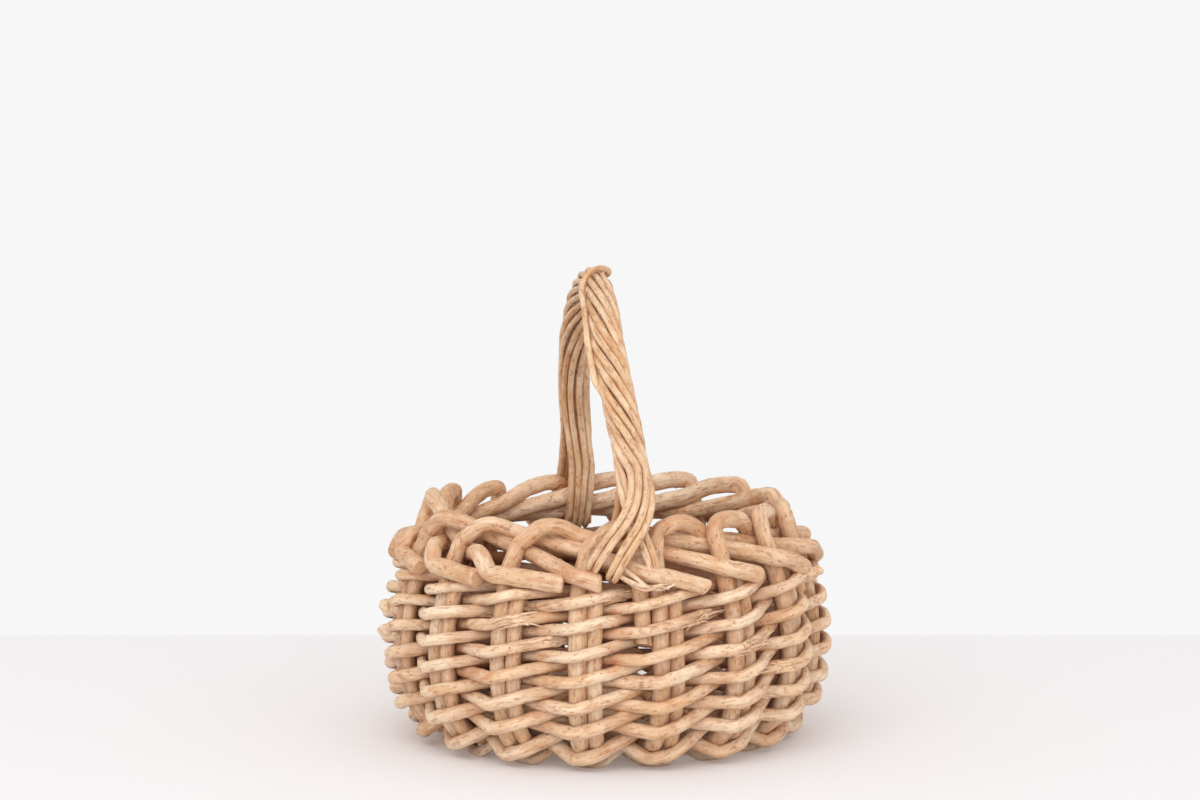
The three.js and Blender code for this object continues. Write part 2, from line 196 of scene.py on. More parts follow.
def wale_corners(first):
    corners = []
    offset = STAKE_RADIUS + WALE_RADIUS + CLEARANCE
    rise, run = WALE_FRONT - WALE_BEHIND, 2 * offset
    scale = (WALE_RADIUS + 2.2 * CLEARANCE) / math.hypot(rise, run)
    rise, run = rise * scale, run * scale
    middle = (WALE_FRONT + WALE_BEHIND) / 2
    for q in range(STAKES + 1):
        k = first + q
        left, right, space = pass_edges(k, middle, offset, WALE_RADIUS)
        way = 1 if q % 2 else -1
        backed = -WALE_MEETING if q == 0 else WALE_MEETING if q == STAKES else 0
        corners.append((place(k, middle + way * run, -way * rise, -space / 2 - backed), 3))
        if q < STAKES:
            out = -offset if q % 2 else offset
            along = WALE_BEHIND if q % 2 else WALE_FRONT
            dip = 1.5 if out > 0 else 0
            corners.append((place(k, along - dip, out, left + 1), 2))
            corners.append((place(k, along + dip, out, right), 4))
    return corners


# How low each stake was bent over before it arches up again, and how much higher than planned its arch stands.
BENT_LOW = {12: 0.9, 13: 1, 14: 1, 15: 1, 0: 0.4, 1: 0.15}
ARCH_RAISE = (6, 5.5, 5, 1.5, 2, 4, 3.5, 2, 0.5, 0, 3, 6, 0, 1, 3, 2.5)
# Tails that come down steeply, fold and run level: where they start to fall and how far they run, as shares of a
# space between two groups.
FOLDED_TAILS = {12: (-0.2, 0.75), 13: (-0.25, 0.8), 14: (-0.36, 0.92)}


def stake_corners(k, chance):
    near, end = spoke(k)
    foot = place(k, 0, 0, MAIN_SHIFT)
    inward = (near - end) / np.linalg.norm(near - end)
    corners = [(foot + inward * STAKE_TUCK, 4), (foot, 9)]
    for along in (9, 18, 27, 36, 52, 68, 90):
        corners.append((place(k, along, 0, MAIN_SHIFT), 12))
    low = BENT_LOW.get(k, 0)
    offset = 2 * STAKE_RADIUS + CLEARANCE
    peak = PEAK_AT + ARCH_RAISE[k]
    space = spacing(PEAK_AT)
    lean = 1 + 3.5 * low - (4 if k in (1, 2) else 0)
    kink = peak - 1.5 - 10.5 * low
    corners.append((place(k, kink - 20, 0, MAIN_SHIFT + 0.15 * lean), 10))
    corners.append((place(k, kink, 0.8, MAIN_SHIFT + lean), 1.5 + (6 if k == 1 else 0)))
    corners.append((place(k, peak - 1.6 * (1 - low), -0.1 * offset, MAIN_SHIFT + lean + 0.32 * space), 4))
    corners.append((place(k, peak + 1.5 * low - 3.5 * (1 - low), -0.5 * offset, MAIN_SHIFT + 0.68 * space), 6))
    first, second = BEHIND_FIRST + 4 * low, BEHIND_SECOND + 6 * low + 1.5
    drop = (first - second) / space
    bow = BOW_RADIUS + STAKE_RADIUS + CLEARANCE
    behind = -(bow + 1) if holds_bow(k + 1) else 0
    corners.append((place(k + 1, first - drop * behind, -offset - 2 * low, MAIN_SHIFT + behind), 12))
    over = overrun(offset, offset, math.atan(2 * offset / space))
    left = -over - (bow if holds_bow(k + 2) else 0)
    corners.append((place(k + 2, second - drop * left, -offset + 1.5 * low, MAIN_SHIFT + left), 14))
    corners.append((place(k + 2, second - drop * over, -offset + 1.5 * low, MAIN_SHIFT + over), 10))
    last = k + 3
    if last in FOLDED_TAILS:
        fall, run = FOLDED_TAILS[last]
        corners.append((place(last, TAIL_AT + 10, 0.8 * offset, MAIN_SHIFT + fall * space), 8))
        corners.append((place(last, TAIL_AT - 1.5, offset + 0.5, MAIN_SHIFT + 0.35 * fall * space), 3))
        corners.append((place(last, TAIL_AT - 5, offset, MAIN_SHIFT + run * space), 4))
    else:
        run = (0.3 if holds_bow(last + 1) else 0.6 if k in (12, 13) else 0.42) * space + chance.uniform(-2, 2)
        fall = 12 if k in (0, 15) else 8.5
        left = -overrun(offset, offset, math.atan(2 * offset / space)) - (bow if holds_bow(last) else 0)
        corners.append((place(last, TAIL_AT - drop * left, offset, MAIN_SHIFT + left), 12))
        corners.append((place(last, TAIL_AT, offset + CLEARANCE, MAIN_SHIFT), 12))
        corners.append((place(last, TAIL_AT - fall * run / space / 0.6, offset, MAIN_SHIFT + run), 4))
    return corners


def bye_corners(k):
    return [(place(k, along, 0, BYE_SHIFT), 8) for along in (3, 12, 21, 30, 50, 68, 92, SIDING_TOP + 1)]


# One end of a base stick: from the edge of the crossed middle, fanned out to a group's bye-stake.
def spoke(k):
    turned = (k + 2) % STAKES
    across = (turned % 4 - 1.5) * SLATH_SPACING
    x, y = ((across, -SLATH_HALF), (SLATH_HALF, across), (-across, SLATH_HALF), (-SLATH_HALF, -across))[turned // 4]
    turn = group_angle(0) + math.pi / 2 - math.pi / STAKES
    near = (x * math.cos(turn) - y * math.sin(turn), x * math.sin(turn) + y * math.cos(turn), BASE_LEVEL)
    return np.array(near), place(k, -STICK_SHORT, 0, BYE_SHIFT)


def stick_corners(k):
    front = k < 2 or k >= STAKES - 2
    far = (STAKES + STAKES // 2 - 1 - k) % STAKES if front else STAKES - 1 - k
    here, there = spoke(k), spoke(far)
    return [(here[1], 2), (here[0], 8), (there[0], 8), (there[1], 2)]


def base_weaver_corners(start):
    corners = []
    keep = STICK_RADIUS + BASE_WEAVER_RADIUS - CLEARANCE

    def side_of(step):
        return ((step + 2) // 4 if step < STAKES else step) % 2

    def crossing(step, share):
        near, end = spoke(step)
        near, run = near - (0, 0, BASE_LEVEL), end - near
        half = near @ run / (run @ run)
        rest = (near @ near - (share * BASE_RADIUS) ** 2) / (run @ run)
        return near + run * (math.sqrt(half * half - rest) - half) + (0, 0, BASE_LEVEL)

    share, step = BASE_START_SHARE + start * BASE_ROW_STEP, 0
    while share < BASE_EDGE_SHARE:
        point = crossing(step, share)
        space = math.inf
        for other in (step - 1, step + 1):
            if side_of(max(other, 0)) != side_of(step):
                space = min(space, np.linalg.norm(point - crossing(other, share)))
        lift = keep / math.sqrt(max(1 - 4 * keep * keep / space ** 2, 0.72))
        corners.append((point + (0, 0, lift if side_of(step) == start else -lift), 6))
        share += 2 * BASE_ROW_STEP / STAKES
        step += 1
    return corners


# How far the front leg bends to the right, in millimetres, at shares of the way over.
LEG_BENDS = ((0, 0.05, 0.12, 0.2, 0.28, 0.4, 0.5, 0.6), (2.6, 3, 2, -1, -3, -1.5, 0, 0))


# The bow's middle line: up beside a stake at the front, over in an arch and down at the back.
def arch_point(share):
    front, back = (place(group, ARCH_SPRING, 0, BOW_SHIFT) for group in BOW_GROUPS)
    turn = share * math.pi
    middle = front + (back - front) * (1 - math.cos(turn)) / 2
    lean = ARCH_LEAN * math.sin(turn) * (1 + ARCH_SWAY * math.cos(turn) ** 2) + 2.5 * math.sin(turn) ** 8
    lean -= np.interp(share, *LEG_BENDS)
    return middle + (-lean, 0, ARCH_HEIGHT * math.sin(turn))


# How far the strands have wound at a share of the way over: one way up to the crown, then some of it back.
def wound(along):
    front, back = min(2 * along, 1), max(2 * along - 1, 0)
    unwound = BACK_TWIST * back * back * (3 - back) / 2 + 1.3 * math.sin(math.pi * back) * back
    return unwound - FRONT_TWIST * front * (3 - front ** 2) / 2


def bow_corners():
    feet = (BOW_END, BOW_END + 18, BOW_END + 43, BOW_END + 66)
    corners = [place(BOW_GROUPS[0], along, 0, BOW_SHIFT) for along in feet]
    corners += [arch_point(i / ARCH_STEPS) for i in range(ARCH_STEPS + 1)]
    corners += [place(BOW_GROUPS[1], along, 0, BOW_SHIFT) for along in reversed(feet)]
    return [(corner, 10) for corner in corners]


# The front foot's outer pairs, as distances along, out and across and how far they tilt: the middle and right ones
# cross over to the left, and the left one runs down under them. OVER is how far out a strand clears the border.
OVER = 3 * STAKE_RADIUS + STRAND_RADIUS + 2 * CLEARANCE
CROSSED_FEET = {
    -1: ((TAIL_AT - 2, 9, 0, 7), (TAIL_AT + 1, OVER - 5, 0, 6.5), (TAIL_AT + 12, OVER - 5, 0, 5),
         (TAIL_AT + 28, OVER - 9, 0.1, 0.5), (TAIL_AT + 45, 8, 0.4, -4)),
    0: ((TAIL_AT + 3, 11, 0, -27), (TAIL_AT + 5.5, OVER - 1, 0, -25.5), (TAIL_AT + 17, OVER + 2, 0, -18),
        (TAIL_AT + 31, OVER - 3, 0, -7.5), (TAIL_AT + 46, OVER - 7.5, 0.1, 0.5)),
    1: ((TAIL_AT - 2, 11, 0, -17), (TAIL_AT + 0.5, OVER - 1, 0, -15.5), (TAIL_AT + 13, OVER + 2, 0, -8.5),
        (TAIL_AT + 29, OVER - 3, 0, 2.5), (TAIL_AT + 46, OVER - 8.5, 0.1, 9)),
}


# Their thin tips, woven away under the border beside the foot: across, up and out.
THIN_TIPS = (
    ((-15, 2, 13), (-9, -3, 16), (-2, -6.5, 15.5), (6, -7, 13.5), (13, -5, 12.5), (21, -7, 11), (28, -8, 9)),
    ((-11, 5, 14), (-4, -2, 17), (2, -7.5, 14), (9, -9, 12), (16, -6.5, 13.5), (21, -3.5, 12)),
    ((-13, 1, 12), (-6, -5.5, 14.5), (1, -9.5, 13), (8, -6.5, 14.5), (14, -8.5, 12)),
)


# One strand stands off the others: from the right of the crown it crosses over them to the left, runs straight down
# the left edge of the front leg and joins its pair again where that comes round.
LOOSE_PAIR = 1
LOOSE_EDGE = math.radians(-85)
TIPPED_PAIR = 1  # the pair that the thin tips belong to


def loose_turn(own, along):
    crossed = np.clip((0.5 - along) / 0.1, 0, 1)
    crossed *= crossed * (3 - 2 * crossed)
    raised = np.clip((0.515 - along) / 0.035, 0, 1) * np.clip((LOOSE_EDGE - own) / 0.6, 0, 1)
    turn = own
    if own < LOOSE_EDGE:
        turn = (own + 2 * math.pi) * (1 - crossed) + max(own, LOOSE_EDGE) * crossed
    return turn, 2 * STRAND_RADIUS * 0.92 * raised * raised * (3 - 2 * raised)


# The two strands of a pair: out from under the border, round the bow, and down again at the other foot.
def strand_corners(pair):
    share = 2 * math.pi / STRAND_PAIRS
    start_turn = pair * share

    def foot(group, turn):
        turned = math.atan2(math.sin(turn), math.cos(turn))
        step = round(turned / share)
        outside = abs(turned) < math.pi / 2
        front = group == BOW_GROUPS[0]
        way = 1 if outside else -1
        if outside and front:
            rows = CROSSED_FEET[step]
        elif outside:
            tuck, fan = TAIL_AT - STAKE_RADIUS - STRAND_RADIUS, step * (4 * STRAND_RADIUS + 0.2)
            rows = ((tuck, 9.4, 0, fan), (tuck + 0.6, 14, 0, fan), (TAIL_AT - 2.5, OVER, 0, fan),
                    (TAIL_AT + 8.5, OVER + 0.5, 0.2, fan * 0.9), (BEHIND_FIRST + 3.4, OVER - 6, 0.6, fan * 0.75))
        else:
            fan = math.copysign(2 * STRAND_RADIUS + 0.4, turned)
            left = -9.5 if front else 2.5
            rows = ((BEHIND_SECOND - 9.8, 9, 0, fan + left), (BEHIND_SECOND - 8.8, 15, 0, fan + left),
                    (BEHIND_SECOND - 2.3, OVER + 1.1, 0, fan + left),
                    (BEHIND_FIRST + 4.4, OVER + 1.1, 0, fan + left * 0.7),
                    (BEHIND_FIRST + 12.4, OVER - 4, 0.5, fan + left * 0.4),
                    (BEHIND_FIRST + 21.4, OVER - 9, 1, fan + left * 0.1))
        stations = []
        for along, out, tilt, across in rows:
            at = place(group, along, way * out, BOW_SHIFT + across)
            outer = place(group, along, way * (out + 1), BOW_SHIFT + across + tilt * across / out)
            stations.append((at, outer - at))
        return stations

    stations = foot(BOW_GROUPS[0], start_turn)
    loose = {}
    first = round(FOOT_SHARE * STRAND_STEPS)
    for i in range(first, STRAND_STEPS - first + 1):
        over = i / STRAND_STEPS
        along = (i - first) / (STRAND_STEPS - 2 * first)
        ahead = arch_point((i + 1) / STRAND_STEPS) - arch_point((i - 1) / STRAND_STEPS)
        ahead /= np.linalg.norm(ahead)
        right = np.array((1.0, 0, 0)) - ahead * ahead[0]
        right /= np.linalg.norm(right)
        outward = np.cross(right, ahead)
        turn = start_turn + wound(along) * share
        out = outward * math.cos(turn) + right * math.sin(turn)
        slim = 1 - 0.12 * math.sin(over * math.pi) ** 8 - 0.1 * max(over - 0.8, 0) * 5
        if pair == LOOSE_PAIR:
            own, rise = loose_turn(turn - STRAND_RADIUS / STRAND_RING, along)
            away = outward * math.cos(own) + right * math.sin(own)
            if rise > 0:
                loose[len(stations)] = arch_point(over) + away * (STRAND_RING * slim + rise)
        stations.append((arch_point(over) + out * STRAND_RING * slim, out))
    stations += reversed(foot(BOW_GROUPS[1], -(start_turn + wound(1) * share)))
    line = [at for at, _ in stations]
    sides = ([], [])
    for i, (at, out) in enumerate(stations):
        ahead = line[min(i + 1, len(line) - 1)] - line[max(i - 1, 0)]
        ahead /= np.linalg.norm(ahead)
        lift = out - ahead * (out @ ahead)
        lift /= np.linalg.norm(lift)
        side = np.cross(lift, ahead)
        sides[0].append((at - side * STRAND_RADIUS, 12))
        sides[1].append((loose.get(i, at + side * STRAND_RADIUS), 12))
    return sides


# Three slow waves, in millimetres, keep a rod from being ruled.
WANDER_WAVES = (31.0, 53.0, 17.0)


# How far along a line each of its points is.
def lengths(line):
    return np.concatenate(([0], np.cumsum(np.linalg.norm(np.diff(line, axis=0), axis=1))))


# Rounds the corners, spaces the points evenly and eases the line, which then wanders a little.
def bend(corners, chance, wander=0.35, step=1.2, ease=1):
    points = [np.asarray(point, float) for point, _ in corners]
    line = [points[0]]
    for i in range(1, len(points) - 1):
        before, after = points[i - 1] - points[i], points[i + 1] - points[i]
        reach = [min(corners[i][1], 0.48 * np.linalg.norm(v)) for v in (before, after)]
        start = points[i] + before / np.linalg.norm(before) * reach[0]
        end = points[i] + after / np.linalg.norm(after) * reach[1]
        for t in np.linspace(0, 1, 7):
            line.append((1 - t) ** 2 * start + 2 * t * (1 - t) * points[i] + t * t * end)
    line.append(points[-1])
    line = np.array(line)
    gone = lengths(line)
    count = max(int(gone[-1] / step), 4)
    at = np.linspace(0, gone[-1], count + 1)
    line = np.stack([np.interp(at, gone, line[:, i]) for i in range(3)], axis=1)
    for _ in range(ease):
        line[1:-1] = (line[:-2] + 2 * line[1:-1] + line[2:]) / 4
    for wave in WANDER_WAVES:
        for i in range(3):
            phase = chance.uniform(0, 2 * math.pi)
            line[:, i] += wander * wave / 60 * np.sin(at / wave * 2 * math.pi + phase) * chance.uniform(0.4, 1)
    return line, at / gone[-1]


# Where a rod is sharply bent its skin folds and it looks thinner.
def folds(line):
    ahead = np.diff(line, axis=0)
    ahead /= np.linalg.norm(ahead, axis=1)[:, None]
    fold = np.zeros(len(line))
    fold[1:-1] = 1 - np.sum(ahead[:-1] * ahead[1:], axis=1)
    fold[1:-1] = (fold[:-2] + 2 * fold[1:-1] + fold[2:]) / 4
    return np.clip(fold / 0.03, 0, 1)


def pinched(line, radii):
    return radii * (1 - 0.13 * folds(line))


# How much darker a rod is along its length: stained at its folds, and painted shade where it passes behind the
# stakes.
def stained_folds(line):
    return np.convolve(folds(line), np.ones(7) / 7, "same") * 0.8


# Painted shade: darker where a weaver runs through and behind the wall, where the stakes shade it.
def shaded_behind(line):
    reach = np.hypot(line[:, 0], line[:, 1])
    wide = 71
    usual = np.convolve(np.pad(reach, wide // 2, "edge"), np.ones(wide) / wide, "valid")
    return np.clip(0.55 - (reach - usual) / 11, 0, 1) * 0.95


# A rod's ends, worn round over a short length.
def worn_ends(line, radii, over=2.2, worn=0.24):
    gone = lengths(line)
    inside = np.clip(np.minimum(gone, gone[-1] - gone) / over, 0, 1)
    return radii * (1 - worn + worn * np.sqrt(1 - (1 - inside) ** 2))


# Where weavers have cracked and frayed, and where the butt of a used-up one stands out and which way it points, as
# shares of their lengths.
FRAYED = {3: (0.86, 0.965), 4: (0.792,), 6: (0.69, 0.821), 9: (0.643,), 12: (0.47,), 14: (0.31,)}
SPLINTERS = 12
BUTTS = {2: (0.7, 1), 3: (0.637, -1), 5: (0.502, -1), 7: (0.9, 1), 8: (0.85, 1), 13: (0.62, 1)}


def beside(line, at, lift, drift):
    ahead = line[at + 1] - line[at - 1]
    outward = line[at] * (1, 1, 0)
    outward /= np.linalg.norm(outward)
    side = np.cross(outward, ahead / np.linalg.norm(ahead))
    return line[at] + outward * lift + side * drift


# Thin splinters that lift off the outer side of a cracked rod.
def splinters(line, share, radius, chance):
    made = []
    for _ in range(SPLINTERS):
        way, count = chance.choice((1, -1)), chance.randint(8, 16)
        first = int(share * (len(line) - 1)) + chance.randint(-7, 7)
        lift, drift, start = chance.uniform(0.5, 4.5), chance.uniform(-3, 3), chance.uniform(-0.8, 0.8) * radius
        skin = math.sqrt(radius ** 2 - start ** 2) - 0.3
        spine = np.array([
            beside(line, first + way * i, skin + lift * (i / count) ** 2, start + drift * (i / count) ** 2)
            for i in range(count)
        ])
        made.append((spine, np.linspace(chance.uniform(0.6, 1.5), 0.2, count), 1.2))
    return made


# The butt of a used-up weaver, coming out beside the one that took its place.
def butt_end(line, share, way, radius, chance):
    first = int(share * (len(line) - 1))
    spine = np.array([beside(line, first + way * i, radius * 0.5 + 0.13 * max(i, 0) ** 1.5, radius * 0.75)
                      for i in range(-16, 9)])
    return spine, worn_ends(spine, np.linspace(radius * 0.9, radius * 0.7, len(spine))), chance.uniform(0, 6)


# One number's or colour's place in a tree of nodes, on which sums are written as plain expressions.
class Wire:
    def __init__(self, tree, socket):
        self.tree, self.socket = tree, socket

    def math(self, operation, *values):
        return add(self.tree, "ShaderNodeMath", {"operation": operation}, dict(enumerate(values)))

    def __add__(self, other):
        return self.math("ADD", self, other)

    def __sub__(self, other):
        return self.math("SUBTRACT", self, other)

    def __rsub__(self, other):
        return self.math("SUBTRACT", other, self)

    def __mul__(self, other):
        return self.math("MULTIPLY", self, other)

    def __truediv__(self, other):
        return self.math("DIVIDE", self, other)

    __radd__, __rmul__ = __add__, __mul__

    # 0 below low, 1 above high, eased between.
    def between(self, low, high):
        return add(self.tree, "ShaderNodeMapRange", {"interpolation_type": "SMOOTHSTEP"},
                   {"Value": self, "From Min": low, "From Max": high})


# Adds a node: its settings first, then values or links for its sockets, by name or number.
def add(tree, kind, settings=None, sockets=None, output=0):
    node = tree.nodes.new(kind)
    for name, value in (settings or {}).items():
        setattr(node, name, value)
    for name, value in (sockets or {}).items():
        if isinstance(name, str):
            found = next(s for s in node.inputs if s.name == name and s.enabled)
        else:
            found = node.inputs[name]
        if isinstance(value, Wire):
            tree.links.new(value.socket, found)
        else:
            found.default_value = value
    outputs = [s for s in node.outputs if s.enabled]
    return Wire(tree, outputs[output] if isinstance(output, int) else node.outputs[output])


# How far round the rod each leaf scar is from the one before it, in radians.
SCAR_TURN = 2.4


# The tree that sweeps a willow rod along each curve: sides, swellings, leaf scars and slanted cuts at both ends.
def willow_rod_tree():
    tree = bpy.data.node_groups.new("willow_rod", "GeometryNodeTree")
    for name, kind, value in (
        ("Rods", "Geometry", None),
        ("Sides", "Int", 14),
        ("Step", "Float", 0.0012),
        ("Swelling", "Float", 0.06),
        ("Scar Spacing", "Float", 0.052),
        ("Cut Slant", "Float", 0.3),
        ("Seed", "Float", 0.0),
        ("Inside Shade", "Float", 1.0),
        ("Finish", "Material", None),
    ):
        socket = tree.interface.new_socket(name, in_out="INPUT", socket_type="NodeSocket" + kind)
        if value is not None:
            socket.default_value = value
    tree.interface.new_socket("Woven", in_out="OUTPUT", socket_type="NodeSocketGeometry")
    given = {s.name: Wire(tree, s) for s in tree.nodes.new("NodeGroupInput").outputs if s.name}

    def keep(geometry, **fields):
        node = tree.nodes.new("GeometryNodeCaptureAttribute")
        for name, (kind, wire) in fields.items():
            node.capture_items.new(kind, name)
            tree.links.new(wire.socket, node.inputs[name])
        tree.links.new(geometry.socket, node.inputs["Geometry"])
        return Wire(tree, node.outputs["Geometry"]), {name: Wire(tree, node.outputs[name]) for name in fields}

    def vector(operation, *values):
        return add(tree, "ShaderNodeVectorMath", {"operation": operation}, dict(enumerate(values)))

    def scaled(wire, factor):
        return add(tree, "ShaderNodeVectorMath", {"operation": "SCALE"}, {0: wire, "Scale": factor})

    curve = add(tree, "GeometryNodeResampleCurve", {"mode": "LENGTH"},
                {"Curve": given["Rods"], "Length": given["Step"]})
    parameter = tree.nodes.new("GeometryNodeSplineParameter")
    tilt = add(tree, "GeometryNodeInputCurveTilt")
    tone, stain = tilt.math("FLOOR", tilt) / 10.0, tilt.math("FRACT", tilt)
    curve, rod = keep(
        curve,
        middle=("VECTOR", add(tree, "GeometryNodeInputPosition")),
        ahead=("VECTOR", add(tree, "GeometryNodeInputTangent")),
        gone=("FLOAT", Wire(tree, parameter.outputs["Length"])),
        whole=("FLOAT", add(tree, "GeometryNodeSplineLength")),
        thick=("FLOAT", add(tree, "GeometryNodeInputRadius")),
        tone=("FLOAT", tone),
        stain=("FLOAT", stain),
    )
    ring = add(tree, "GeometryNodeCurvePrimitiveCircle", {"mode": "RADIUS"},
               {"Resolution": given["Sides"], "Radius": 1.0})
    ring_parameter = tree.nodes.new("GeometryNodeSplineParameter")
    ring, edge = keep(ring, turn=("FLOAT", Wire(tree, ring_parameter.outputs["Factor"])))
    skin = add(tree, "GeometryNodeCurveToMesh", {},
               {"Curve": curve, "Profile Curve": ring, "Scale": rod["thick"], "Fill Caps": True})

    turn = edge["turn"] * (2 * math.pi)
    across, up = turn.math("COSINE", turn), turn.math("SINE", turn)
    own = rod["tone"] * 0.37 + given["Seed"]
    spot = add(tree, "GeometryNodeInputPosition")
    outward = vector("SUBTRACT", spot, rod["middle"])
    level = vector("MULTIPLY", spot, (1.0, 1.0, 0.0))
    facing_out = vector("DOT_PRODUCT", vector("NORMALIZE", level), vector("NORMALIZE", outward))
    depth = add(tree, "ShaderNodeSeparateXYZ", {}, {0: spot}, "Z")
    # Painted shade: marks the inward-facing side of rods low in the basket, below about 0.12 m, to be darkened as if
    # in shade.
    inner_shade = (1.0 - facing_out.between(-0.55, 0.25)) * (1.0 - depth.between(0.095, 0.122)) * given["Inside Shade"]
    space = add(tree, "ShaderNodeCombineXYZ", {},
                {"X": across * rod["thick"], "Y": up * rod["thick"], "Z": rod["gone"] + own})

    slow = add(tree, "ShaderNodeTexNoise", {}, {"Vector": space, "Scale": 55.0, "Detail": 1.0})
    quick = add(tree, "ShaderNodeTexNoise", {}, {"Vector": space, "Scale": 210.0, "Detail": 1.0})
    wave = (rod["gone"] + own) / given["Scar Spacing"]
    facing = turn.math("COSINE", turn + wave.math("FLOOR", wave) * SCAR_TURN)
    scar_at = wave.math("ABSOLUTE", wave.math("FRACT", wave) - 0.5) * given["Scar Spacing"]
    scar = (1.0 - scar_at.between(0.0003, 0.0013)) * facing.between(0.8, 0.97)
    swell = (slow - 0.5) * 2.2 * given["Swelling"] + (quick - 0.5) * 0.8 * given["Swelling"] + scar * 0.09
    to_end = rod["whole"] - rod["gone"]
    slant = rod["thick"] * given["Cut Slant"]
    reach = slant * 3.0 + 0.0001
    near_start = 1.0 - slant.math("MINIMUM", rod["gone"] / reach, 1.0)
    near_end = 1.0 - slant.math("MINIMUM", to_end / reach, 1.0)
    shear = across * slant * (near_start + near_end)
    shift = vector("ADD", scaled(outward, swell), scaled(rod["ahead"], shear))
    skin = add(tree, "GeometryNodeSetPosition", {}, {"Geometry": skin, "Offset": shift})

    corners = tree.nodes.new("GeometryNodeInputMeshFaceNeighbors")
    cap = add(tree, "FunctionNodeCompare", {"data_type": "INT", "operation": "GREATER_THAN"},
              {"A": Wire(tree, corners.outputs["Vertex Count"]), "B": 4})
    for name, kind, domain, value in (
        ("rod_space", "FLOAT_VECTOR", "POINT", space),
        ("rod_tone", "FLOAT", "POINT", rod["tone"]),
        ("rod_scar", "FLOAT", "POINT", scar),
        ("rod_inner_shade", "FLOAT", "POINT", inner_shade),
        ("rod_stain_and_shade", "FLOAT", "POINT", rod["stain"]),
        ("cut_face", "FLOAT", "FACE", cap),
    ):
        skin = add(tree, "GeometryNodeStoreNamedAttribute", {"data_type": kind, "domain": domain},
                   {"Geometry": skin, "Name": name, "Value": value})
    sides = add(tree, "FunctionNodeBooleanMath", {"operation": "NOT"}, {0: cap})
    skin = add(tree, "GeometryNodeSetShadeSmooth", {}, {"Geometry": skin, "Selection": sides, "Shade Smooth": True})
    skin = add(tree, "GeometryNodeSetShadeSmooth", {}, {"Geometry": skin, "Selection": cap, "Shade Smooth": False})
    skin = add(tree, "GeometryNodeRealizeInstances", {}, {"Geometry": skin})
    skin = add(tree, "GeometryNodeSetMaterial", {}, {"Geometry": skin, "Material": given["Finish"]})
    tree.links.new(skin.socket, tree.nodes.new("NodeGroupOutput").inputs["Woven"])
    return tree


# A colour as it looks on a screen, in the numbers that the light is worked out with.
def linear(red, green, blue):
    return tuple(((c / 255 + 0.055) / 1.055) ** 2.4 for c in (red, green, blue)) + (1.0,)
